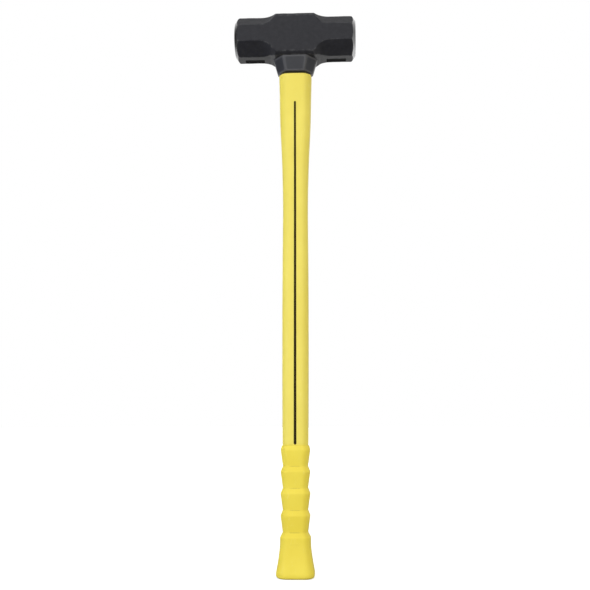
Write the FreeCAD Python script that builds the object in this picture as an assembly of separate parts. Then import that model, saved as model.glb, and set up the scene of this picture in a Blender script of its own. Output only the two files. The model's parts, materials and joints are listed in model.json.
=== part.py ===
# Long-handled double-faced sledgehammer, modelled standing upright on its butt, in millimetres.
# +Z runs up the handle to the head, +X along the head to its right striking face, and -Y is the front.
# The origin is the centre of the flat butt end. Each separate physical piece is one solid in its own file.
import FreeCAD, Part
import math
import os

Vector = FreeCAD.Vector

# Whole hammer
OVERALL_HEIGHT = 914.0

# Head: an octagonal bar with a squarer cheek around the eye
HEAD_LENGTH = 202.0
HEAD_WIDTH = 69.0          # across the flats, both ways
ARM_FLAT = 28.2            # width of the front, back, top and bottom flats on the arms
CHEEK_CHAMFER_TOP = 5.0    # leg of the cheek's small upper chamfers
CHEEK_CHAMFER_BOTTOM = 2.0  # leg of its lower ones, nearly sharp
CHEEK_HALF_LENGTH = 32.0   # the cheek is full size this far each side of the eye
RUNOUT_RADIUS = 30.0       # concave sweep where an arm chamfer climbs to the cheek
RUNOUT_ANGLE = 40.0        # degrees, the climb's steepest part
BOSS_DROP = 3.0            # the eye boss stands this far below the arms
BOSS_HALF_LENGTH = 33.0
BOSS_FOOT_HALF_LENGTH = 42.0
FACE_RADIUS = 28.5         # flat striking face inside the conical ground bevel
BEVEL_LENGTH = 4.5         # measured along the head, in the middle of an arm flat
FACE_EDGE_ROUND = 2.0
RECESS_LENGTH = 33.0       # shallow blank recess under each arm
RECESS_WIDTH = 12.0
RECESS_DEPTH = 1.2
RECESS_X = 68.5
RECESS_Y = 5.5

# Eye: oval, waisted so that the cured bond cannot pull through
EYE_BOTTOM = (35.0, 29.0)  # (length along X, width along Y)
EYE_WAIST = (34.0, 28.0)
EYE_TOP = (41.0, 34.0)
EYE_WAIST_ABOVE_BOSS = 30.0
SEAL_HEIGHT = 8.0          # rubber dam that stops the bond from running out of the eye
BOND_BELOW_TOP = 1.6
ROD_BELOW_TOP = 0.8

# Core rod, a pultruded racetrack bar
ROD_SIZE = (30.0, 24.0)
ROD_FOOT = 12.0            # height of the rod's lower end above the butt

# Collar under the head
COLLAR_RIM_Z = 817.0
COLLAR_RIM = (58.6, 45.6)
COLLAR_TOP = (73.2, 57.5)
COLLAR_FRONT_SHARE = (0.52, 0.55)   # front flat over the full width, at the rim and at the top
COLLAR_SIDE_SHARE = 0.22
COLLAR_ROUND = 5.0
COLLAR_GAP = 2.7           # open joint between the collar's rim and the jacket

# Handle jacket: (height, width seen from the front), joined by a smooth curve
JACKET_FOOT = (199.0, 41.2)
JACKET_SWELL = ((310.0, 42.3), (440.0, 42.4), (530.0, 41.4))
JACKET_WAIST = (590.0, 40.8)
JACKET_FLARE = ((645.0, 42.8), (682.0, 45.5), (715.0, 48.9), (740.0, 50.8), (766.0, 51.8))
JACKET_TOP_WIDTH = 54.2
JACKET_SECTIONS = 25
DEPTH_SHARE = 0.79         # depth over width of the handle and the grip
FRONT_SHARE = 0.65         # front flat over the full width
SIDE_SHARE = 0.55          # side flat over the full depth
CORNER_ROUND_SHARE = 0.5   # corner radius over the half width
JACKET_TOP_ROUND = 2.5
SPIGOT_SIZE = (40.0, 34.0)  # jacket neck that plugs into the collar
SPIGOT_HEIGHT = 12.0
TENON_SIZE = (34.5, 27.6)  # thinner jacket inside the grip
TENON_FOOT = 25.0

# Inlaid stripe on the front and on the back
STRIPE_Z = (205.4, 765.4)
STRIPE_WIDTH = (4.2, 3.3)  # at its lower and upper end
STRIPE_DEPTH = 1.2

# Grip sleeve: stepped cups above a flared butt
GRIP_TOP = 204.3
GRIP_LIP = 0.9             # wall left at the grip's upper edge
RIM_COUNT = 5              # the lowest rim is the top of the flared butt
RIM_TOP_Z = 197.3
RIM_PITCH = 33.9
RIM_WIDTH = 46.6
RIM_BAND = 2.0             # straight edge below each rim
NECK_WIDTH = 39.8
STEP_HEIGHT = 8.2          # bevel from a neck down to the next rim
BUTT_RIM_WIDTH = 48.3
FLARE_TOP_Z = 52.0
FLARE_POWER = 1.4          # how slowly the flare starts
FLARE_SECTIONS = 7
BUTT_WIDTH = 60.4
BUTT_WIDEST_Z = 9.0
BUTT_FRONT_SHARE = 0.74    # the butt is squarer than the grip above it
BUTT_ROUND = 5.0

HEAD_Z = OVERALL_HEIGHT - HEAD_WIDTH / 2
ARM_UNDERSIDE_Z = HEAD_Z - HEAD_WIDTH / 2
BOSS_Z = ARM_UNDERSIDE_Z - BOSS_DROP
JACKET_TOP_Z = COLLAR_RIM_Z - COLLAR_GAP
CLEAR = 5.0                # how far a cutting tool runs past what it cuts
TOUCH = 0.01               # tolerance when picking out an edge by its place


def rounded_wire(corners, radii, z):
    """Closed level wire through the corners, each rounded to its own radius."""
    points = [Vector(x, y, z) for x, y in corners]
    arcs = []
    for i, corner in enumerate(points):
        before = (points[i - 1] - corner).normalize()
        after = (points[(i + 1) % len(points)] - corner).normalize()
        half = before.getAngle(after) / 2
        reach = radii[i] / math.tan(half)
        to_centre = (before + after).normalize()
        middle = corner + to_centre * (radii[i] / math.sin(half) - radii[i])
        arcs.append((corner + before * reach, middle, corner + after * reach))
    edges = []
    for i, (start, middle, end) in enumerate(arcs):
        edges.append(Part.LineSegment(arcs[i - 1][2], start).toShape())
        edges.append(Part.Arc(start, middle, end).toShape())
    return Part.Wire(edges)


def octagon_corners(width, depth, front_share, side_share):
    """Corners of an octagon with flats on all four sides, counterclockwise from the front left."""
    half_width = width / 2
    half_depth = depth / 2
    front = front_share * half_width
    side = side_share * half_depth
    return [
        (-front, -half_depth),
        (front, -half_depth),
        (half_width, -side),
        (half_width, side),
        (front, half_depth),
        (-front, half_depth),
        (-half_width, side),
        (-half_width, -side),
    ]


def handle_section(width, depth, z, front_share=FRONT_SHARE):
    """Rounded octagon used by the handle and the grip."""
    corners = octagon_corners(width, depth, front_share, SIDE_SHARE)
    return rounded_wire(corners, [CORNER_ROUND_SHARE * width / 2] * len(corners), z)


def collar_section(size, front_share, z):
    corners = octagon_corners(*size, front_share, COLLAR_SIDE_SHARE)
    return rounded_wire(corners, [COLLAR_ROUND] * len(corners), z)


def racetrack(size, z):
    """Level outline with straight front and back and half-round ends."""
    half_width = size[1] / 2
    half_straight = size[0] / 2 - half_width
    front = Part.LineSegment(Vector(-half_straight, -half_width, z), Vector(half_straight, -half_width, z))
    back = Part.LineSegment(Vector(half_straight, half_width, z), Vector(-half_straight, half_width, z))
    right = Part.Arc(front.EndPoint, Vector(size[0] / 2, 0, z), back.StartPoint)
    left = Part.Arc(back.EndPoint, Vector(-size[0] / 2, 0, z), front.StartPoint)
    return Part.Wire([curve.toShape() for curve in (front, right, back, left)])


def racetrack_bar(size, low, high):
    return Part.Face(racetrack(size, low)).extrude(Vector(0, 0, high - low))


def loft(sections, ruled=False):
    return Part.makeLoft(sections, True, ruled)


def extruded_outline(outline, direction):
    """Solid from a closed outline of points pushed along a direction."""
    return Part.Face(Part.makePolygon(outline + outline[:1])).extrude(direction)


def slab(low, high):
    """Level block wider than the hammer, used to trim pieces to a height."""
    size = HEAD_LENGTH + 2 * CLEAR
    return Part.makeBox(size, size, high - low, Vector(-size / 2, -size / 2, low))


def head_blank():
    """Square bar along X with the eye boss below it."""
    half = HEAD_LENGTH / 2
    outline = [
        (-half, OVERALL_HEIGHT),
        (half, OVERALL_HEIGHT),
        (half, ARM_UNDERSIDE_Z),
        (BOSS_FOOT_HALF_LENGTH, ARM_UNDERSIDE_Z),
        (BOSS_HALF_LENGTH, BOSS_Z),
        (-BOSS_HALF_LENGTH, BOSS_Z),
        (-BOSS_FOOT_HALF_LENGTH, ARM_UNDERSIDE_Z),
        (-half, ARM_UNDERSIDE_Z),
    ]
    front = [Vector(x, -HEAD_WIDTH / 2, z) for x, z in outline]
    return extruded_outline(front, Vector(0, HEAD_WIDTH, 0))


def chamfer_cutter(cheek_chamfer):
    """Cutter for one long edge, lying along X with its cutting side up.

    Its top is level with the arm chamfer and sweeps down to the shallow cheek chamfer.
    Height zero is the square bar's sharp edge and the bar lies above it.
    """
    arm_depth = (HEAD_WIDTH - ARM_FLAT) / 2 / math.sqrt(2)
    cheek_depth = cheek_chamfer / math.sqrt(2)
    angle = math.radians(RUNOUT_ANGLE)
    arc_run = RUNOUT_RADIUS * math.sin(angle)
    arc_climb = RUNOUT_RADIUS * (1 - math.cos(angle))
    straight_run = (arm_depth - arc_climb - cheek_depth) / math.tan(angle)
    arc_end = CHEEK_HALF_LENGTH + straight_run
    arc_start = arc_end + arc_run
    far = HEAD_LENGTH / 2 + CLEAR
    middle_x = arc_start - RUNOUT_RADIUS * math.sin(angle / 2)
    middle_z = arm_depth - RUNOUT_RADIUS * (1 - math.cos(angle / 2))

    edges = []
    for side in (1, -1):
        far_top = Vector(side * far, 0, arm_depth)
        start = Vector(side * arc_start, 0, arm_depth)
        middle = Vector(side * middle_x, 0, middle_z)
        end = Vector(side * arc_end, 0, arm_depth - arc_climb)
        cheek = Vector(side * CHEEK_HALF_LENGTH, 0, cheek_depth)
        edges.append(Part.LineSegment(Vector(side * far, 0, -HEAD_WIDTH), far_top))
        edges.append(Part.LineSegment(far_top, start))
        edges.append(Part.Arc(start, middle, end))
        edges.append(Part.LineSegment(end, cheek))
    edges.append(Part.LineSegment(Vector(-far, 0, -HEAD_WIDTH), Vector(far, 0, -HEAD_WIDTH)))
    edges.append(Part.LineSegment(
        Vector(-CHEEK_HALF_LENGTH, 0, cheek_depth), Vector(CHEEK_HALF_LENGTH, 0, cheek_depth)))
    wire = Part.Wire(Part.__sortEdges__([edge.toShape() for edge in edges]))
    solid = Part.Face(wire).extrude(Vector(0, 2 * HEAD_WIDTH, 0))
    solid.translate(Vector(0, -HEAD_WIDTH, 0))
    return solid


def chamfered_bar():
    """Head blank with all four long edges cut back to the arm and cheek chamfers."""
    bar = head_blank()
    half = HEAD_WIDTH / 2
    for turns, chamfer in ((0, CHEEK_CHAMFER_BOTTOM), (1, CHEEK_CHAMFER_BOTTOM),
                           (2, CHEEK_CHAMFER_TOP), (3, CHEEK_CHAMFER_TOP)):
        cutter = chamfer_cutter(chamfer)
        cutter.translate(Vector(0, 0, -half * math.sqrt(2)))
        cutter.rotate(Vector(0, 0, 0), Vector(1, 0, 0), 90 * turns - 45)
        cutter.translate(Vector(0, 0, HEAD_Z))
        bar = bar.cut(cutter)
    return bar


def face_envelope():
    """Turned envelope that gives both ends their flat faces and ground bevels."""
    half = HEAD_LENGTH / 2
    widest = HEAD_WIDTH        # radius well clear of the bar's corners
    slope = BEVEL_LENGTH / (HEAD_WIDTH / 2 - FACE_RADIUS)
    bevel_run = (widest - FACE_RADIUS) * slope
    outline = [
        Vector(-half, 0, 0),
        Vector(-half, 0, FACE_RADIUS),
        Vector(-half + bevel_run, 0, widest),
        Vector(half - bevel_run, 0, widest),
        Vector(half, 0, FACE_RADIUS),
        Vector(half, 0, 0),
    ]
    profile = Part.Face(Part.makePolygon(outline + outline[:1]))
    envelope = profile.revolve(Vector(0, 0, 0), Vector(1, 0, 0), 360)
    rims = [edge for edge in envelope.Edges
            if abs(abs(edge.CenterOfMass.x) - half) < TOUCH and edge.Length > FACE_RADIUS]
    envelope = envelope.makeFillet(FACE_EDGE_ROUND, rims)
    envelope.translate(Vector(0, 0, HEAD_Z))
    return envelope


def eye_void():
    """Oval hole through the head, widening above its waist."""
    waist_z = BOSS_Z + EYE_WAIST_ABOVE_BOSS
    lower = loft([racetrack(EYE_BOTTOM, BOSS_Z), racetrack(EYE_WAIST, waist_z)])
    upper = loft([racetrack(EYE_WAIST, waist_z), racetrack(EYE_TOP, OVERALL_HEIGHT)])
    return lower.fuse(upper).removeSplitter()


def recess(side):
    """Shallow blank recess in the underside of one arm."""
    corner = Vector(side * RECESS_X - RECESS_LENGTH / 2, RECESS_Y - RECESS_WIDTH / 2, ARM_UNDERSIDE_Z - CLEAR)
    return Part.makeBox(RECESS_LENGTH, RECESS_WIDTH, RECESS_DEPTH + CLEAR, corner)


def make_head():
    body = chamfered_bar().common(face_envelope())
    for side in (-1, 1):
        body = body.cut(recess(side))
    return body.cut(eye_void()).removeSplitter()


def make_core_rod():
    return racetrack_bar(ROD_SIZE, ROD_FOOT, OVERALL_HEIGHT - ROD_BELOW_TOP)


def make_eye_seal(rod):
    return eye_void().common(slab(BOSS_Z, BOSS_Z + SEAL_HEIGHT)).cut(rod)


def make_eye_bond(rod):
    return eye_void().common(slab(BOSS_Z + SEAL_HEIGHT, OVERALL_HEIGHT - BOND_BELOW_TOP)).cut(rod)


def make_collar(head, rod, jacket):
    """Tapered collar whose top is fitted to the boss and whose socket takes the jacket's neck."""
    collar_top = ARM_UNDERSIDE_Z + CLEAR
    growth = (collar_top - COLLAR_RIM_Z) / (BOSS_Z - COLLAR_RIM_Z)
    top_size = [rim + (top - rim) * growth for rim, top in zip(COLLAR_RIM, COLLAR_TOP)]
    body = loft([
        collar_section(COLLAR_RIM, COLLAR_FRONT_SHARE[0], COLLAR_RIM_Z),
        collar_section(top_size, COLLAR_FRONT_SHARE[1], collar_top),
    ])
    body = body.common(slab(COLLAR_RIM_Z, ARM_UNDERSIDE_Z))
    body = body.cut(head).cut(jacket).cut(rod)
    below_head = [solid for solid in body.Solids if solid.BoundBox.ZMin < COLLAR_RIM_Z + CLEAR]
    eye = eye_void()
    return below_head[0].cut(eye)


def jacket_stations():
    """Evenly spaced (height, width) pairs along the jacket's smooth side."""
    top = (JACKET_TOP_Z, JACKET_TOP_WIDTH)
    keys = (JACKET_FOOT, *JACKET_SWELL, JACKET_WAIST, *JACKET_FLARE, top)
    side = Part.BSplineCurve()
    side.interpolate([Vector(width, 0, z) for z, width in keys])
    points = side.discretize(Number=JACKET_SECTIONS)
    return [(point.z, point.x) for point in points]


def jacket_body(depth_trim=0.0):
    """Outside of the handle jacket, optionally with its front and back pared down."""
    return loft([
        handle_section(width, width * DEPTH_SHARE - 2 * depth_trim, z)
        for z, width in jacket_stations()
    ])


def stripe_prism():
    """Tapered strip outline with round ends, running through the handle from front to back."""
    low, high = STRIPE_Z
    low_half, high_half = (width / 2 for width in STRIPE_WIDTH)
    low_left, low_right = Vector(-low_half, 0, low + low_half), Vector(low_half, 0, low + low_half)
    high_left, high_right = Vector(-high_half, 0, high - high_half), Vector(high_half, 0, high - high_half)
    wire = Part.Wire([
        Part.Arc(low_left, Vector(0, 0, low), low_right).toShape(),
        Part.LineSegment(low_right, high_right).toShape(),
        Part.Arc(high_right, Vector(0, 0, high), high_left).toShape(),
        Part.LineSegment(high_left, low_left).toShape(),
    ])
    solid = Part.Face(wire).extrude(Vector(0, 2 * HEAD_WIDTH, 0))
    solid.translate(Vector(0, -HEAD_WIDTH, 0))
    return solid


def make_stripes():
    """Front and back inlays, flush with the jacket."""
    layers = jacket_body().common(stripe_prism()).cut(jacket_body(STRIPE_DEPTH))
    front, back = sorted(layers.Solids, key=lambda solid: solid.CenterOfMass.y)
    return front, back


def make_jacket(rod, stripes):
    body = jacket_body()
    top_edges = [edge for edge in body.Edges
                 if edge.BoundBox.ZMin > JACKET_TOP_Z - TOUCH]
    body = body.makeFillet(JACKET_TOP_ROUND, top_edges)
    body = body.fuse(racetrack_bar(SPIGOT_SIZE, JACKET_TOP_Z - CLEAR, COLLAR_RIM_Z + SPIGOT_HEIGHT))
    body = body.fuse(racetrack_bar(TENON_SIZE, TENON_FOOT, JACKET_FOOT[0] + CLEAR))
    body = body.cut(rod)
    for stripe in stripes:
        body = body.cut(stripe)
    return body


def grip_section(width, z, front_share=FRONT_SHARE):
    return handle_section(width, width * DEPTH_SHARE, z, front_share)


def straight_loft(high_z, high_width, low_z, low_width):
    return loft([grip_section(high_width, high_z), grip_section(low_width, low_z)], ruled=True)


def butt_flare():
    """Butt widening towards the floor, slowly at first, and growing squarer on the way."""
    sections = []
    for i in range(FLARE_SECTIONS):
        share = i / (FLARE_SECTIONS - 1)
        width = BUTT_RIM_WIDTH + (BUTT_WIDTH - BUTT_RIM_WIDTH) * share ** FLARE_POWER
        z = FLARE_TOP_Z + (BUTT_WIDEST_Z - FLARE_TOP_Z) * share
        sections.append(grip_section(width, z, FRONT_SHARE + (BUTT_FRONT_SHARE - FRONT_SHARE) * share))
    return loft(sections)


def butt_end():
    """Rounded lower edge of the flared butt."""
    inset = BUTT_ROUND * (1 - math.sqrt(0.5))
    foot = loft([
        grip_section(BUTT_WIDTH - 2 * BUTT_ROUND, 0, BUTT_FRONT_SHARE),
        grip_section(BUTT_WIDTH - 2 * inset, inset, BUTT_FRONT_SHARE),
        grip_section(BUTT_WIDTH, BUTT_ROUND, BUTT_FRONT_SHARE),
    ])
    band = loft([
        grip_section(BUTT_WIDTH, BUTT_ROUND, BUTT_FRONT_SHARE),
        grip_section(BUTT_WIDTH, BUTT_WIDEST_Z, BUTT_FRONT_SHARE),
    ], ruled=True)
    return foot.fuse(band)


def grip_body():
    """Outside of the grip, from the flared butt up through the cups to the top bevel."""
    rims = [RIM_TOP_Z - RIM_PITCH * i for i in range(RIM_COUNT)]
    pieces = [straight_loft(GRIP_TOP, JACKET_FOOT[1] + 2 * GRIP_LIP, rims[0], RIM_WIDTH)]
    for rim, next_rim in zip(rims, rims[1:]):
        neck_z = next_rim + STEP_HEIGHT
        next_width = BUTT_RIM_WIDTH if next_rim == rims[-1] else RIM_WIDTH
        pieces.append(straight_loft(rim, RIM_WIDTH, rim - RIM_BAND, RIM_WIDTH))
        pieces.append(straight_loft(rim - RIM_BAND, RIM_WIDTH, neck_z, NECK_WIDTH))
        pieces.append(straight_loft(neck_z, NECK_WIDTH, next_rim, next_width))
    pieces.append(straight_loft(rims[-1], BUTT_RIM_WIDTH, FLARE_TOP_Z, BUTT_RIM_WIDTH))
    pieces.append(butt_flare())
    pieces.append(butt_end())
    return pieces[0].multiFuse(pieces[1:])


def make_grip(jacket, rod, stripes):
    body = grip_body()
    for inner in (jacket, rod, *stripes):
        body = body.cut(inner)
    return body


def export(name, shape):
    """Write one sub-part, which has to be a single valid solid."""
    if len(shape.Solids) != 1 or not shape.isValid():
        raise ValueError(f"{name}: {len(shape.Solids)} solids, valid {shape.isValid()}")
    shape.Solids[0].exportStep(os.path.join("parts", name + ".step"))
    box = shape.optimalBoundingBox()
    print(f"{name}: {box.XLength:.1f} x {box.YLength:.1f} x {box.ZLength:.1f}, {shape.Volume / 1000:.1f} cm3")


def main():
    os.makedirs("parts", exist_ok=True)
    head = make_head()
    rod = make_core_rod()
    stripes = make_stripes()
    jacket = make_jacket(rod, stripes)
    export("head", head)
    export("core_rod", rod)
    export("eye_bond", make_eye_bond(rod))
    export("eye_seal", make_eye_seal(rod))
    export("collar", make_collar(head, rod, jacket))
    export("handle_jacket", jacket)
    export("stripe_front", stripes[0])
    export("stripe_back", stripes[1])
    export("grip_sleeve", make_grip(jacket, rod, stripes))


main()
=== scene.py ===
"""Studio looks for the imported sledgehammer: metres, +Z up the handle, -Y the front.

Each visible piece is a finer skin taken from its own CAD node. Rays from outside the node give rings of
points, the rings are eased so that edges carry a real round, and the skin then gets its unevenness and its
material.
"""
import json
import math

import bpy
import numpy as np
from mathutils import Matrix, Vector, noise
from mathutils.bvhtree import BVHTree

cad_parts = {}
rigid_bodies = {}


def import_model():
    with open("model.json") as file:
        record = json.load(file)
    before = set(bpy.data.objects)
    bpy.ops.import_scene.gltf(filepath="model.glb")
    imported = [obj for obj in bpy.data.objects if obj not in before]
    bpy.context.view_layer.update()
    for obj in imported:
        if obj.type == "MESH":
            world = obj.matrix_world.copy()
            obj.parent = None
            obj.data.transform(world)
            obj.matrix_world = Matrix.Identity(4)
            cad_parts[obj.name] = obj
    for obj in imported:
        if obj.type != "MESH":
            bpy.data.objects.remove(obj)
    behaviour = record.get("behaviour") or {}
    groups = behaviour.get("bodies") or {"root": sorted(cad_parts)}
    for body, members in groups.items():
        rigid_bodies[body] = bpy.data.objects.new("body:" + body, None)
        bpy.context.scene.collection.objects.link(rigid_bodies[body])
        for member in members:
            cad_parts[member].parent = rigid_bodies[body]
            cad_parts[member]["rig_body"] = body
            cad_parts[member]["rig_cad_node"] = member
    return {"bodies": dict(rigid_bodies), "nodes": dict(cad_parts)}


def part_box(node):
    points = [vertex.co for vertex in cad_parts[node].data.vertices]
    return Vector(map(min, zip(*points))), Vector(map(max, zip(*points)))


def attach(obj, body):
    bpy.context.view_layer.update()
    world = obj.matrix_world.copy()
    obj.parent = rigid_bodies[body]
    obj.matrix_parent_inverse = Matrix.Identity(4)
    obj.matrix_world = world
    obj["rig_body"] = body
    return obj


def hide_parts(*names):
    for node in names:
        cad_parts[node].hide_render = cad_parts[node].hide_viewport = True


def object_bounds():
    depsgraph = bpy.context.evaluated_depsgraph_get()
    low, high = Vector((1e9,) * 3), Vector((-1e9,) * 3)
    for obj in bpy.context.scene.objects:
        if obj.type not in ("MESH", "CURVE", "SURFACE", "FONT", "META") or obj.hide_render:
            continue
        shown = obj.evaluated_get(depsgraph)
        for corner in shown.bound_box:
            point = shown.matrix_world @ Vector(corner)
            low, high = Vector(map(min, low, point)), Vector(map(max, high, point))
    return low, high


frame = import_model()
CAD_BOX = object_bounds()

MM = 0.001
BODY = next(iter(frame["bodies"]))
OUTSIDE = 90 * MM                      # rays start this far from a piece's own axis
EDGE_OFFSETS = np.array([-1.0, -0.6, -0.3, 0.0, 0.3, 0.6, 1.0]) * MM

HEAD_LOW, HEAD_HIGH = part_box("head")
BOND_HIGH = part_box("eye_bond")[1]
COLLAR_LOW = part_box("collar")[0]
GRIP_LOW, GRIP_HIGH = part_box("grip_sleeve")
HEAD_AXIS_Z = HEAD_HIGH.z - HEAD_HIGH.y
OPEN_JOINT = 2.7 * MM                  # gap between the collar's rim and the jacket
JACKET_TOP_Z = COLLAR_LOW.z - OPEN_JOINT

# Camera, matched to the reference view
CAMERA_AZIMUTH = 2.8                   # degrees round to the hammer's right
CAMERA_DISTANCE = 1.42
CAMERA_HEIGHT = 0.259
CAMERA_LENS = 53.7
AIM = Vector((-0.0009, 0.0, 0.4449))


# ---------------------------------------------------------------- skins from the CAD nodes

def node_surface(*names):
    """Ray target made of one or more CAD nodes."""
    points, polygons = [], []
    for name in names:
        mesh = frame["nodes"][name].data
        offset = len(points)
        points += [v.co.copy() for v in mesh.vertices]
        polygons += [[offset + i for i in p.vertices] for p in mesh.polygons]
    return BVHTree.FromPolygons(points, polygons)


class Axis:
    """Straight line through a piece, with two directions across it."""

    def __init__(self, origin, along, first, second):
        self.origin = np.array(origin, float)
        self.along = np.array(along, float)
        self.first = np.array(first, float)
        self.second = np.array(second, float)

    def spokes(self, around):
        angles = np.arange(around) * 2 * math.pi / around
        return np.cos(angles)[:, None] * self.first + np.sin(angles)[:, None] * self.second

    def split(self, points):
        """Distance along the axis, and the offset across it."""
        offset = points - self.origin
        run = offset @ self.along
        return run, offset - run[..., None] * self.along


def reach(surface, origin, direction):
    """Distance from origin to the surface along direction, or nothing."""
    return surface.ray_cast(Vector(origin), Vector(direction))[3]


def lateral_ring(surface, axis, station, around):
    """Ring of points where spokes from outside first meet the surface."""
    centre = axis.origin + station * axis.along
    ring = np.empty((around, 3))
    for j, spoke in enumerate(axis.spokes(around)):
        distance = reach(surface, centre + OUTSIDE * spoke, -spoke)
        radius = 0.0 if distance is None else max(OUTSIDE - distance, 0.0)
        ring[j] = centre + radius * spoke
    return ring


def ring_stack(surface, axis, stations, around):
    return np.array([lateral_ring(surface, axis, station, around) for station in stations])


def stations_past(edges, low, high, step):
    """Even stations from low to high, closed up around every edge so that it stays crisp."""
    close = EDGE_OFFSETS[-1] + step / 2
    even = np.linspace(low, high, round((high - low) / step) + 1)
    kept = [station for station in even if all(abs(station - edge) > close for edge in edges)]
    near = [edge + offset for edge in edges for offset in EDGE_OFFSETS]
    return np.array(sorted(kept + [station for station in near if low <= station <= high]))


def cap_rings(surface, axis, rim, side, shares):
    """Rings inside rim on the flat end that faces side, from rays along the axis."""
    _, offset = axis.split(rim)
    rings = []
    for share in shares:
        ring = np.empty_like(rim)
        for j, spoke in enumerate(offset * share):
            start = axis.origin + spoke + side * axis.along
            ring[j] = start - side * axis.along * reach(surface, start, -side * axis.along)
        rings.append(ring)
    return rings


def flat_rings(axis, rim, station, shares):
    """Rings inside rim at one level, for ends that are hidden in a neighbour."""
    _, offset = axis.split(rim)
    centre = axis.origin + station * axis.along
    return [centre + offset * share for share in shares]


def eased(rings, passes, end_fixed=1):
    """Rings with every point drawn towards its neighbours, which rounds edges by about a cell a pass."""
    for _ in range(passes):
        around = (np.roll(rings, 1, axis=1) + 2 * rings + np.roll(rings, -1, axis=1)) / 4
        along = around.copy()
        along[1:-1] = (around[:-2] + 2 * around[1:-1] + around[2:]) / 4
        along[:end_fixed] = rings[:end_fixed]
        along[len(rings) - end_fixed:] = rings[len(rings) - end_fixed:]
        rings = along
    return rings


def ring_normals(rings):
    """Outward unit normals of a skin of rings about any axis."""
    across = np.roll(rings, -1, axis=1) - np.roll(rings, 1, axis=1)
    along = np.gradient(rings, axis=0)
    normals = np.cross(across, along)
    length = np.linalg.norm(normals, axis=2, keepdims=True)
    normals = normals / np.maximum(length, 1e-12)
    outward = rings - rings.mean(axis=1, keepdims=True)
    if (normals * outward).sum() < 0:
        normals = -normals
    return normals


def uneven(rings, amplitude, size, seed):
    """Rings pushed in and out along their normals by smooth noise."""
    normals = ring_normals(rings)
    shift = np.array([
        noise.noise(Vector(point) / size + Vector((seed, 0, 0))) for point in rings.reshape(-1, 3)
    ]).reshape(rings.shape[:2])
    return rings + normals * (amplitude * shift)[..., None]


def skin(name, rings, masks=None):
    """Closed mesh piece from a stack of rings; dress() later sets it on the hammer's body."""
    count, around = rings.shape[:2]
    points = np.concatenate([rings.reshape(-1, 3), rings[:1].mean(axis=1), rings[-1:].mean(axis=1)])
    first, last = count * around, count * around + 1
    rows = np.arange(count - 1)[:, None] * around
    here = np.arange(around)
    after = (here + 1) % around
    quads = np.stack([rows + here, rows + after, rows + around + after, rows + around + here], axis=-1)
    faces = quads.reshape(-1, 4).tolist()
    top = (count - 1) * around
    faces += [[first, int(b), int(a)] for a, b in zip(here, after)]
    faces += [[last, int(top + a), int(top + b)] for a, b in zip(here, after)]
    mesh = bpy.data.meshes.new(name)
    mesh.from_pydata(points.tolist(), [], faces)
    for mask, values in (masks or {}).items():
        layer = mesh.attributes.new(mask, "FLOAT", "POINT")
        centres = [values[0].mean(), values[-1].mean()]
        layer.data.foreach_set("value", np.append(values.reshape(-1), centres))
    if signed_volume(mesh) < 0:
        mesh.flip_normals()
    mesh.shade_smooth()
    piece = bpy.data.objects.new(name, mesh)
    bpy.context.scene.collection.objects.link(piece)
    return piece


def signed_volume(mesh):
    """Six times the enclosed volume, negative if the faces point inwards."""
    total = 0.0
    mesh.calc_loop_triangles()
    for triangle in mesh.loop_triangles:
        a, b, c = (mesh.vertices[i].co for i in triangle.vertices)
        total += a.dot(b.cross(c))
    return total


def edge_mask(raw, soft, scale):
    """1 on outside edges, -1 in inside corners, 0 on flats."""
    lift = ((raw - soft) * ring_normals(soft)).sum(axis=2)
    return np.clip(lift / scale, -1, 1)


# ---------------------------------------------------------------- pieces

HEAD_AXIS = Axis((0, 0, HEAD_AXIS_Z), (1, 0, 0), (0, 1, 0), (0, 0, 1))
HANDLE_AXIS = Axis((0, 0, 0), (0, 0, 1), (1, 0, 0), (0, 1, 0))

HEAD_SPOKES = 320                      # points in a ring
HEAD_STEP = 0.9 * MM                   # between rings
HEAD_END_INSET = 0.6 * MM              # last ring before a striking face
# Edges of the boss, the recess and the bevel, from the eye outwards
HEAD_EDGES = np.array([33.0, 42.0, 52.0, 85.0, 96.5]) * MM
# Rings on a striking face, as shares of its rim
CAP_SHARES = (0.985, 0.96, 0.92, 0.86, 0.78, 0.68, 0.56, 0.42, 0.28, 0.12)
BOND_COVER = 0.4 * MM                  # how far the skin in the eye stays under the bond
EYE_SNAP = 0.45 * MM                   # about half a cell of the skin
RECESS_CLEAR_OF_EYE = 45 * MM          # nothing nearer the eye is taken for a recess
UNDERSIDE_SHARE = 0.38                 # of the half width, safely inside the underside's flat
RECESS_MIN_DEPTH = 1 * MM              # half of this above the underside counts as recess
GRINDING_REACH = 14 * MM               # no bare steel further than this from a striking face

COLLAR_SPOKES = 240
COLLAR_RINGS = 34
COLLAR_HIDDEN = 4 * MM                 # how far the collar's skin runs up into the head

HANDLE_SPOKES = 160
JACKET_IN_GRIP = 2 * MM                # hidden ends of the jacket's skin
JACKET_IN_COLLAR = 4 * MM
JACKET_ROUND = 4 * MM                  # closer rings over the jacket's rounded upper end
JACKET_LIP = 0.03 * MM                 # half the height over which the skin steps in to the neck

GRIP_STEP = 1.1 * MM                   # between rings
BUTT_ROUND = 6 * MM                    # closer rings over the rounded lower end
TOP_BEVEL = 7 * MM                     # from the grip's upper end down to its first rim
STEP_HEIGHT = 8.2 * MM                 # from a cup's neck down to the next rim
RIM_PITCH = 33.9 * MM
RIM_COUNT = 5
STRIPE_PROUD = 0.2 * MM                # how far an inlay stands off the jacket


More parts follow.
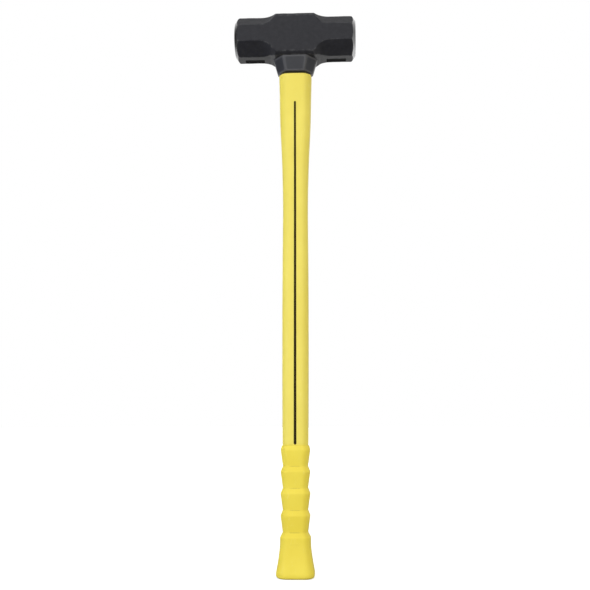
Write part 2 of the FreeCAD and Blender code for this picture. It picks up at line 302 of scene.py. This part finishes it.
def head_rings():
    """Head skin about its long axis, with the eye filled to just under the level of the bond."""
    surface = node_surface("head")
    end = HEAD_HIGH.x - HEAD_END_INSET
    edges = [side * edge for edge in HEAD_EDGES for side in (-1, 1)]
    stations = stations_past(edges, -end, end, HEAD_STEP)
    rings = ring_stack(surface, HEAD_AXIS, stations, HEAD_SPOKES)
    fill_eye(rings, BOND_HIGH.z - BOND_COVER, HEAD_HIGH.z)
    fill_eye(rings, HEAD_LOW.z, HEAD_LOW.z)
    start = cap_rings(surface, HEAD_AXIS, rings[0], -1, CAP_SHARES)[::-1]
    finish = cap_rings(surface, HEAD_AXIS, rings[-1], 1, CAP_SHARES)
    return np.concatenate([start, rings, finish])


def fill_eye(rings, level, mouth):
    """Brings the points inside the eye to a level and draws the nearest points onto its outline."""
    radius = BOND_HIGH.y
    straight = BOND_HIGH.x - radius
    side = 1 if mouth > HEAD_AXIS_Z else -1
    spokes = rings - (0, 0, HEAD_AXIS_Z)
    spokes[..., 0] = 0
    rise = spokes[..., 2] * side / np.linalg.norm(spokes, axis=2)
    facing = rise > 0.7
    to_mouth = np.where(facing, abs(mouth - HEAD_AXIS_Z) / np.maximum(abs(spokes[..., 2]), MM), 1.0)
    x = rings[..., 0]
    y = rings[..., 1] * to_mouth
    beyond = np.sign(x) * np.maximum(np.abs(x) - straight, 0)
    spread = np.maximum(np.hypot(beyond, y), MM)
    gap = spread - radius
    near = facing & (np.abs(gap) < EYE_SNAP)
    inside = facing & (gap < 0)
    rings[..., 0] = np.where(near, x - beyond / spread * gap, x)
    rings[..., 1] = np.where(near, y - y / spread * gap, np.where(inside, y, rings[..., 1]))
    rings[..., 2] = np.where(inside, level, rings[..., 2])


def recess_mask(rings):
    """1 where the skin lies above the arms' flat undersides."""
    half_width = HEAD_HIGH.y
    along, across, height = (rings[..., i] for i in range(3))
    in_arm = np.abs(along) > RECESS_CLEAR_OF_EYE
    in_flat = np.abs(across) < UNDERSIDE_SHARE * half_width
    below = height < HEAD_AXIS_Z
    raised = height > HEAD_AXIS_Z - half_width + 0.5 * RECESS_MIN_DEPTH
    return (in_arm & in_flat & below & raised).astype(float)


def build_head():
    """Head skin: forging skin all over but for the ground faces and bevels, which stay true."""
    raw = head_rings()
    soft = eased(raw, 1)
    edges = edge_mask(soft, eased(raw, 6), scale=0.25 * MM)
    normals = ring_normals(eased(raw, 2))
    towards_end = np.abs(normals[..., 0])
    near_end = np.abs(raw[..., 0]) > HEAD_HIGH.x - GRINDING_REACH
    ground = np.clip((towards_end - 0.6) / 0.15, 0, 1) * near_end
    # painted shade: marks the underside recesses, which the coat darkens
    recess_shade = recess_mask(raw)
    bumpy = uneven(soft, amplitude=0.22 * MM, size=14 * MM, seed=3.0)
    bumpy = uneven(bumpy, amplitude=0.07 * MM, size=3.5 * MM, seed=8.0)
    shaped = np.where((ground > 0)[..., None], soft, bumpy)
    return skin("head_forging", shaped, {"edge": edges, "ground": ground, "recess_shade": recess_shade})


def build_collar():
    """Collar skin, carried on in a straight line up into the head."""
    surface = node_surface("collar")
    visible_top = HEAD_LOW.z - 0.3 * MM
    stations = np.linspace(COLLAR_LOW.z + 0.15 * MM, visible_top, COLLAR_RINGS)
    rings = ring_stack(surface, HANDLE_AXIS, stations, COLLAR_SPOKES)
    growth = (rings[-1] - rings[-2]) / (stations[-1] - stations[-2])
    extra = [rings[-1] + growth * COLLAR_HIDDEN * share for share in (0.5, 1.0)]
    start = flat_rings(HANDLE_AXIS, rings[0], COLLAR_LOW.z, (0.6, 0.85, 0.95, 0.985))
    end = flat_rings(HANDLE_AXIS, extra[-1], visible_top + COLLAR_HIDDEN, (0.9, 0.6))
    raw = np.concatenate([start, rings, extra, end])
    soft = eased(raw, 2)
    # this edge mask also carries the collar's painted highlight on its outer edges
    edges = edge_mask(soft, eased(raw, 16), scale=0.3 * MM)
    shaped = uneven(soft, amplitude=0.06 * MM, size=18 * MM, seed=5.0)
    return skin("collar_moulding", shaped, {"edge": edges})


def build_jacket():
    """Jacket skin with the stripe grooves filled, from inside the grip up into the collar."""
    surface = node_surface("handle_jacket", "stripe_front", "stripe_back")
    foot = GRIP_HIGH.z - JACKET_IN_GRIP
    neck_top = COLLAR_LOW.z + JACKET_IN_COLLAR
    stations = np.concatenate([
        np.linspace(foot, JACKET_TOP_Z - JACKET_ROUND, 150),
        np.linspace(JACKET_TOP_Z - 0.9 * JACKET_ROUND, JACKET_TOP_Z - JACKET_LIP, 14),
        np.linspace(JACKET_TOP_Z + JACKET_LIP, neck_top, 6),
    ])
    rings = ring_stack(surface, HANDLE_AXIS, stations, HANDLE_SPOKES)
    start = flat_rings(HANDLE_AXIS, rings[0], foot, (0.5, 0.9))
    end = flat_rings(HANDLE_AXIS, rings[-1], neck_top, (0.9, 0.4))
    raw = np.concatenate([start, rings, end])
    soft = eased(raw, 1)
    edges = edge_mask(soft, eased(raw, 8), scale=0.2 * MM)
    # painted shade: the jacket's neck inside the open joint under the collar
    neck_shade = (raw[..., 2] > JACKET_TOP_Z).astype(float)
    shaped = uneven(soft, amplitude=0.08 * MM, size=30 * MM, seed=11.0)
    return skin("jacket_moulding", shaped, {"edge": edges, "neck_shade": neck_shade})


def build_grip():
    """Grip skin, with rings closed up around the rims and the necks of its cups."""
    surface = node_surface("grip_sleeve")
    rims = [GRIP_HIGH.z - TOP_BEVEL - RIM_PITCH * i for i in range(RIM_COUNT)]
    necks = [rim + STEP_HEIGHT for rim in rims[1:]]
    stations = np.concatenate([
        np.linspace(GRIP_LOW.z + 0.3 * MM, GRIP_LOW.z + BUTT_ROUND, 9),
        stations_past(rims + necks, GRIP_LOW.z + BUTT_ROUND + 0.7 * MM, GRIP_HIGH.z - 0.1 * MM, GRIP_STEP),
    ])
    rings = ring_stack(surface, HANDLE_AXIS, stations, HANDLE_SPOKES)
    start = cap_rings(surface, HANDLE_AXIS, rings[0], -1, (0.98, 0.9, 0.75, 0.5, 0.25))[::-1]
    end = flat_rings(HANDLE_AXIS, rings[-1], GRIP_HIGH.z, (0.96, 0.6))
    raw = np.concatenate([start, rings, end])
    soft = eased(raw, 2)
    edges = edge_mask(soft, eased(raw, 10), scale=0.12 * MM)
    shaped = uneven(soft, amplitude=0.1 * MM, size=20 * MM, seed=21.0)
    return skin("grip_moulding", shaped, {"edge": edges})


def build_stripe(node, outward):
    """Copy of an inlay, standing a hair proud of the jacket."""
    piece = frame["nodes"][node].copy()
    piece.data = piece.data.copy()
    piece.name = node + "_inlay"
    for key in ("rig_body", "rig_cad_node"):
        del piece[key]
    piece.parent = None
    bpy.context.scene.collection.objects.link(piece)
    for vertex in piece.data.vertices:
        vertex.co.y += outward * STRIPE_PROUD
    return piece


# ---------------------------------------------------------------- materials

class Nodes:
    """Small helper around one node tree."""

    def __init__(self, owner):
        owner.use_nodes = True
        self.tree = owner.node_tree
        self.tree.nodes.clear()

    def add(self, kind, **settings):
        node = self.tree.nodes.new(kind)
        for key, value in settings.items():
            setattr(node, key, value)
        return node

    def link(self, source, target):
        self.tree.links.new(source, target)

    def feed(self, value, target):
        """Links a socket, or sets a plain value; colours are given as three numbers."""
        if isinstance(value, bpy.types.NodeSocket):
            self.link(value, target)
        elif target.type == "RGBA":
            target.default_value = (*value, 1.0)
        else:
            target.default_value = value

    def spread(self, value, low, high, to_low=0.0, to_high=1.0):
        node = self.add("ShaderNodeMapRange", clamp=True)
        self.feed(value, node.inputs["Value"])
        node.inputs["From Min"].default_value = low
        node.inputs["From Max"].default_value = high
        node.inputs["To Min"].default_value = to_low
        node.inputs["To Max"].default_value = to_high
        return node.outputs[0]

    def math(self, operation, a, b=0.0):
        node = self.add("ShaderNodeMath", operation=operation)
        self.feed(a, node.inputs[0])
        self.feed(b, node.inputs[1])
        return node.outputs[0]

    def mix(self, share, a, b):
        node = self.add("ShaderNodeMix", data_type="RGBA")
        self.feed(share, node.inputs["Factor"])
        self.feed(a, node.inputs[6])
        self.feed(b, node.inputs[7])
        return node.outputs[2]

    def blend(self, share, a, b):
        node = self.add("ShaderNodeMix", data_type="FLOAT")
        for value, socket in zip((share, a, b), node.inputs[:1] + node.inputs[2:4]):
            self.feed(value, socket)
        return node.outputs[0]


class Shader(Nodes):
    """One material with a single surface shader."""

    def __init__(self, name):
        self.material = bpy.data.materials.new(name)
        super().__init__(self.material)
        self.surface = self.add("ShaderNodeBsdfPrincipled")
        output = self.add("ShaderNodeOutputMaterial")
        self.link(self.surface.outputs[0], output.inputs["Surface"])
        self.place = self.add("ShaderNodeTexCoord").outputs["Object"]

    def scaled(self, stretch):
        node = self.add("ShaderNodeVectorMath", operation="MULTIPLY")
        self.link(self.place, node.inputs[0])
        node.inputs[1].default_value = stretch
        return node.outputs[0]

    def noise(self, size, detail=4.0, roughness=0.55, place=None):
        node = self.add("ShaderNodeTexNoise")
        self.link(place or self.place, node.inputs["Vector"])
        node.inputs["Scale"].default_value = 1 / size
        node.inputs["Detail"].default_value = detail
        node.inputs["Roughness"].default_value = roughness
        return node.outputs["Fac"]

    def mask(self, name):
        return self.add("ShaderNodeAttribute", attribute_name=name).outputs["Fac"]

    def set(self, **inputs):
        for key, value in inputs.items():
            self.feed(value, self.surface.inputs[key.replace("_", " ")])

    def bump(self, height, distance, strength=1.0, under=None):
        node = self.add("ShaderNodeBump")
        node.inputs["Distance"].default_value = distance
        node.inputs["Strength"].default_value = strength
        self.feed(height, node.inputs["Height"])
        if under is not None:
            self.link(under, node.inputs["Normal"])
        return node.outputs[0]


def turning_marks(s):
    """Fine rings about the head's axis, as left by grinding its ends."""
    from_axis = s.add("ShaderNodeVectorMath", operation="SUBTRACT")
    s.link(s.place, from_axis.inputs[0])
    from_axis.inputs[1].default_value = (0, 0, HEAD_AXIS_Z)
    across = s.add("ShaderNodeVectorMath", operation="MULTIPLY")
    s.link(from_axis.outputs[0], across.inputs[0])
    across.inputs[1].default_value = (0, 1, 1)
    radius = s.add("ShaderNodeVectorMath", operation="LENGTH")
    s.link(across.outputs[0], radius.inputs[0])
    split = s.add("ShaderNodeSeparateXYZ")
    s.link(s.place, split.inputs[0])
    turned = s.add("ShaderNodeCombineXYZ")
    s.link(radius.outputs["Value"], turned.inputs[0])
    s.link(split.outputs["X"], turned.inputs[1])
    return s.noise(0.9 * MM, 5, 0.65, turned.outputs[0])


def head_material():
    """Satin black coat over forging skin, with painted shade in the underside recesses, and ground steel at
    both ends.
    """
    s = Shader("coated forged steel")
    grain = s.noise(1.1 * MM, 5)
    scale = s.noise(7 * MM, 6, 0.6)
    recess_shade = s.mask("recess_shade")
    coat = s.mix(s.spread(scale, 0.35, 0.7), (0.0102, 0.0104, 0.0145), (0.017, 0.0172, 0.0222))
    # painted shade: the underside recesses get a darker coat and almost no reflection
    coat = s.mix(s.math("MULTIPLY", recess_shade, 0.7), coat, (0.01, 0.01, 0.01))
    edge = s.math("MULTIPLY", s.spread(s.mask("edge"), 0.35, 1.0), s.spread(scale, 0.45, 0.62))
    coat = s.mix(s.math("MULTIPLY", edge, 0.22), coat, (0.16, 0.16, 0.165))

    marks = turning_marks(s)
    dulled = s.spread(s.noise(12 * MM, 4, 0.6), 0.35, 0.7, 0.0, 0.4)
    steel = s.mix(s.spread(marks, 0.3, 0.7), (0.50, 0.50, 0.505), (0.68, 0.68, 0.685))
    steel = s.mix(dulled, steel, (0.36, 0.355, 0.35))
    ragged = s.math("ADD", s.mask("ground"), s.spread(grain, 0.3, 0.7, -0.2, 0.2))
    bare = s.spread(ragged, 0.4, 0.6)
    coat_roughness = s.spread(grain, 0.3, 0.7, 0.42, 0.58)
    steel_roughness = s.spread(marks, 0.3, 0.7, 0.2, 0.34)
    s.set(
        Base_Color=s.mix(bare, coat, steel),
        Metallic=bare,
        Roughness=s.blend(bare, coat_roughness, steel_roughness),
        Specular_IOR_Level=s.blend(recess_shade, 0.5, 0.02),
        Normal=s.bump(s.blend(bare, grain, marks), 0.12 * MM, 0.5),
    )
    return s.material


def collar_material():
    s = Shader("moulded nylon")
    grain = s.noise(0.7 * MM, 3)
    cloud = s.noise(16 * MM, 3)
    colour = s.mix(cloud, (0.022, 0.023, 0.029), (0.031, 0.032, 0.039))
    # painted highlight: the collar's outer edges are lightened towards grey
    edge = s.spread(s.mask("edge"), 0.2, 1.0, 0.0, 0.42)
    s.set(
        Base_Color=s.mix(edge, colour, (0.11, 0.11, 0.12)),
        Roughness=s.spread(grain, 0.3, 0.7, 0.3, 0.42),
        Normal=s.bump(grain, 0.04 * MM, 0.35),
    )
    return s.material


def yellow_material(name, light, deep, roughness, grain_size, relief, stretch):
    """Moulded yellow plastic: slow colour drift, fine grain, faint scuffs, darker inside corners, and
    painted shade on the jacket's neck under the collar.
    """
    s = Shader(name)
    drift = s.noise(60 * MM, 3)
    fleck = s.noise(2.5 * MM, 4)
    grain = s.noise(grain_size, 4, 0.6, s.scaled(stretch))
    scuff = s.spread(s.noise(5 * MM, 6, 0.7, s.scaled((1, 1, 0.3))), 0.58, 0.7)
    # darker, browner yellow in inside corners
    corner = s.spread(s.mask("edge"), -0.1, -1.0, 0.0, 0.4)
    corner_darkening = s.math("MULTIPLY", corner, s.spread(fleck, 0.3, 0.6, 0.4, 1.0))
    colour = s.mix(s.spread(drift, 0.35, 0.65), deep, light)
    colour = s.mix(s.spread(fleck, 0.55, 0.8, 0.0, 0.3), colour, deep)
    colour = s.mix(s.math("MULTIPLY", scuff, 0.12), colour, (0.9, 0.85, 0.5))
    colour = s.mix(corner_darkening, colour, (0.28, 0.2, 0.04))
    # painted shade: the neck inside the open joint is painted nearly black
    colour = s.mix(s.mask("neck_shade"), colour, (0.02, 0.018, 0.01))
    grainy = s.spread(grain, 0.3, 0.7, roughness - 0.05, roughness + 0.07)
    s.set(
        Base_Color=colour,
        Roughness=s.math("ADD", grainy, s.math("MULTIPLY", scuff, 0.12)),
        Subsurface_Weight=0.04,
        Subsurface_Radius=(0.6, 0.5, 0.1),
        Subsurface_Scale=1.5 * MM,
        Normal=s.bump(grain, relief, 0.5),
    )
    return s.material


def stripe_material():
    s = Shader("dark inlay")
    fibre = s.noise(0.8 * MM, 4, 0.6, s.scaled((1.0, 1.0, 0.06)))
    s.set(
        Base_Color=s.mix(fibre, (0.010, 0.006, 0.001), (0.03, 0.02, 0.002)),
        Roughness=s.spread(fibre, 0.3, 0.7, 0.5, 0.7),
        Specular_IOR_Level=0.2,
        Normal=s.bump(fibre, 0.05 * MM, 0.5),
    )
    return s.material


def rod_material():
    """Sawn end of a glass fibre rod: pale resin with fibre ends."""
    s = Shader("glass fibre rod")
    ends = s.add("ShaderNodeTexVoronoi")
    s.link(s.place, ends.inputs["Vector"])
    ends.inputs["Scale"].default_value = 1 / (0.9 * MM)
    speck = s.spread(ends.outputs["Distance"], 0.1, 0.6)
    s.set(
        Base_Color=s.mix(speck, (0.62, 0.56, 0.36), (0.34, 0.29, 0.15)),
        Roughness=0.55,
        Normal=s.bump(speck, 0.05 * MM, 0.5),
    )
    return s.material


def epoxy_material():
    s = Shader("cured epoxy")
    cloud = s.noise(5 * MM, 4)
    s.set(
        Base_Color=s.mix(cloud, (0.05, 0.034, 0.014), (0.13, 0.09, 0.04)),
        Roughness=s.spread(cloud, 0.3, 0.7, 0.12, 0.3),
        Normal=s.bump(cloud, 0.3 * MM, 0.4),
    )
    return s.material


def rubber_material():
    s = Shader("seal rubber")
    grain = s.noise(0.8 * MM, 4)
    s.set(
        Base_Color=s.mix(grain, (0.012, 0.012, 0.012), (0.03, 0.03, 0.03)),
        Roughness=0.7,
        Normal=s.bump(grain, 0.05 * MM, 0.4),
    )
    return s.material


def paint(piece, material):
    piece.data.materials.clear()
    piece.data.materials.append(material)


def dress(piece, material, slot, *nodes):
    """Finishes a new piece: its material, its body, and the CAD nodes it stands for."""
    paint(piece, material)
    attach(piece, BODY)
    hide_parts(*nodes)


def build_hammer():
    jacket = yellow_material(
        "yellow handle resin", light=(0.78, 0.665, 0.118), deep=(0.745, 0.625, 0.102),
        roughness=0.40, grain_size=1.2 * MM, relief=0.05 * MM, stretch=(1, 1, 0.08))
    grip = yellow_material(
        "yellow grip vinyl", light=(0.80, 0.66, 0.078), deep=(0.77, 0.62, 0.062),
        roughness=0.46, grain_size=0.6 * MM, relief=0.05 * MM, stretch=(1, 1, 1))
    dark = stripe_material()
    dress(build_head(), head_material(), "black_steel", "head")
    dress(build_collar(), collar_material(), "black_nylon", "collar")
    dress(build_jacket(), jacket, "yellow_jacket", "handle_jacket")
    dress(build_grip(), grip, "yellow_grip", "grip_sleeve")
    dress(build_stripe("stripe_front", -1), dark, "black_inlay", "stripe_front")
    dress(build_stripe("stripe_back", 1), dark, "black_inlay", "stripe_back")
    paint(frame["nodes"]["core_rod"], rod_material())
    paint(frame["nodes"]["eye_bond"], epoxy_material())
    paint(frame["nodes"]["eye_seal"], rubber_material())


# ---------------------------------------------------------------- stage, light and camera

FLOOR_RADIUS = 12.0
FLOOR_SIDES = 96


def build_floor():
    """Wide disc: white to the camera with a soft shadow, and throwing little light up from the front."""
    mesh = bpy.data.meshes.new("floor")
    angles = [2 * math.pi * i / FLOOR_SIDES for i in range(FLOOR_SIDES)]
    rim = [(FLOOR_RADIUS * math.cos(angle), FLOOR_RADIUS * math.sin(angle), 0.0) for angle in angles]
    mesh.from_pydata(rim, [], [list(range(FLOOR_SIDES))])
    floor = bpy.data.objects.new("floor", mesh)
    bpy.context.scene.collection.objects.link(floor)
    floor.location.z = CAD_BOX[0].z - 0.1 * MM
    s = Shader("pale floor")
    seen = s.add("ShaderNodeLightPath").outputs["Is Camera Ray"]
    split = s.add("ShaderNodeSeparateXYZ")
    s.link(s.place, split.inputs[0])
    bounce = s.spread(split.outputs["Y"], -0.2, 1.4, 0.17, 0.8)
    away = s.add("ShaderNodeVectorMath", operation="LENGTH")
    s.link(s.place, away.inputs[0])
    white = s.spread(away.outputs["Value"], 0.4, 2.5, 0.6, 1.0)
    glow = s.spread(split.outputs["Y"], 0.5, 1.8, 0.0, 0.75)
    s.set(
        Base_Color=s.blend(seen, bounce, 0.85),
        Roughness=0.9,
        Specular_IOR_Level=0.0,
        Emission_Color=(1.0, 1.0, 1.0),
        Emission_Strength=s.blend(seen, glow, white),
    )
    paint(floor, s.material)


def build_world():
    """White to the camera. All else sees a studio, bright behind and low in front, dim above and beside."""
    world = bpy.data.worlds.new("studio")
    bpy.context.scene.world = world
    s = Nodes(world)
    split = s.add("ShaderNodeSeparateXYZ")
    s.link(s.add("ShaderNodeTexCoord").outputs["Generated"], split.inputs[0])
    x, y, z = split.outputs
    front = s.spread(z, 0.05, 0.35, 2.1, 0.22)
    back = s.blend(s.spread(y, -0.9, 0.6), front, 1.0)
    above = s.spread(z, 0.5, 0.85, 1.0, 0.6)
    left = s.spread(x, -0.8, -0.4, 0.03, 1.0)
    right = s.spread(x, 0.4, 0.85, 1.0, 0.3)
    studio = s.math("MULTIPLY", s.math("MULTIPLY", back, above), s.math("MULTIPLY", left, right))
    seen = s.add("ShaderNodeLightPath").outputs["Is Camera Ray"]
    background = s.add("ShaderNodeBackground")
    background.inputs["Color"].default_value = (1, 1, 1, 1)
    s.link(s.blend(seen, studio, 1.0), background.inputs["Strength"])
    s.link(background.outputs[0], s.add("ShaderNodeOutputWorld").inputs["Surface"])


def area_light(name, place, aim, size, power, tint=(1, 1, 1), glints=True):
    """Soft round lamp; one without glints lights the hammer but isn't mirrored in it."""
    light = bpy.data.lights.new(name, "AREA")
    light.shape = "DISK"
    light.size = size
    light.energy = power
    light.color = tint
    lamp = bpy.data.objects.new(name, light)
    bpy.context.scene.collection.objects.link(lamp)
    lamp.location = place
    lamp.rotation_euler = (Vector(aim) - Vector(place)).to_track_quat("-Z", "Y").to_euler()
    lamp.visible_camera = False
    lamp.visible_glossy = glints


def build_lights():
    middle = (0, 0, CAD_BOX[1].z / 2)
    area_light("key", (-1.5, -1.8, 0.9), middle, 1.5, 10, glints=False)
    area_light("fill", (1.6, -1.6, 1.5), middle, 1.2, 3)
    area_light("top", (-0.3, -0.9, 2.3), (0, 0, CAD_BOX[1].z), 1.0, 6)
    area_light("left", (-2.1, -1.2, 0.5), middle, 1.6, 39, (0.95, 0.98, 1.0), glints=False)
    area_light("right", (2.2, -1.3, 0.3), middle, 1.6, 42, (1.0, 0.96, 0.76), glints=False)
    area_light("low", (-0.2, -1.2, 0.1), (0, 0, 0.1), 0.5, 3, glints=False)


def build_camera():
    data = bpy.data.cameras.new("camera")
    data.lens = CAMERA_LENS
    camera = bpy.data.objects.new("camera", data)
    bpy.context.scene.collection.objects.link(camera)
    turn = math.radians(CAMERA_AZIMUTH)
    camera.location = (CAMERA_DISTANCE * math.sin(turn), -CAMERA_DISTANCE * math.cos(turn), CAMERA_HEIGHT)
    camera.rotation_euler = (AIM - camera.location).to_track_quat("-Z", "Y").to_euler()
    bpy.context.scene.camera = camera
    bpy.context.scene.view_settings.view_transform = "Standard"


build_hammer()
build_floor()
build_world()
build_lights()
build_camera()
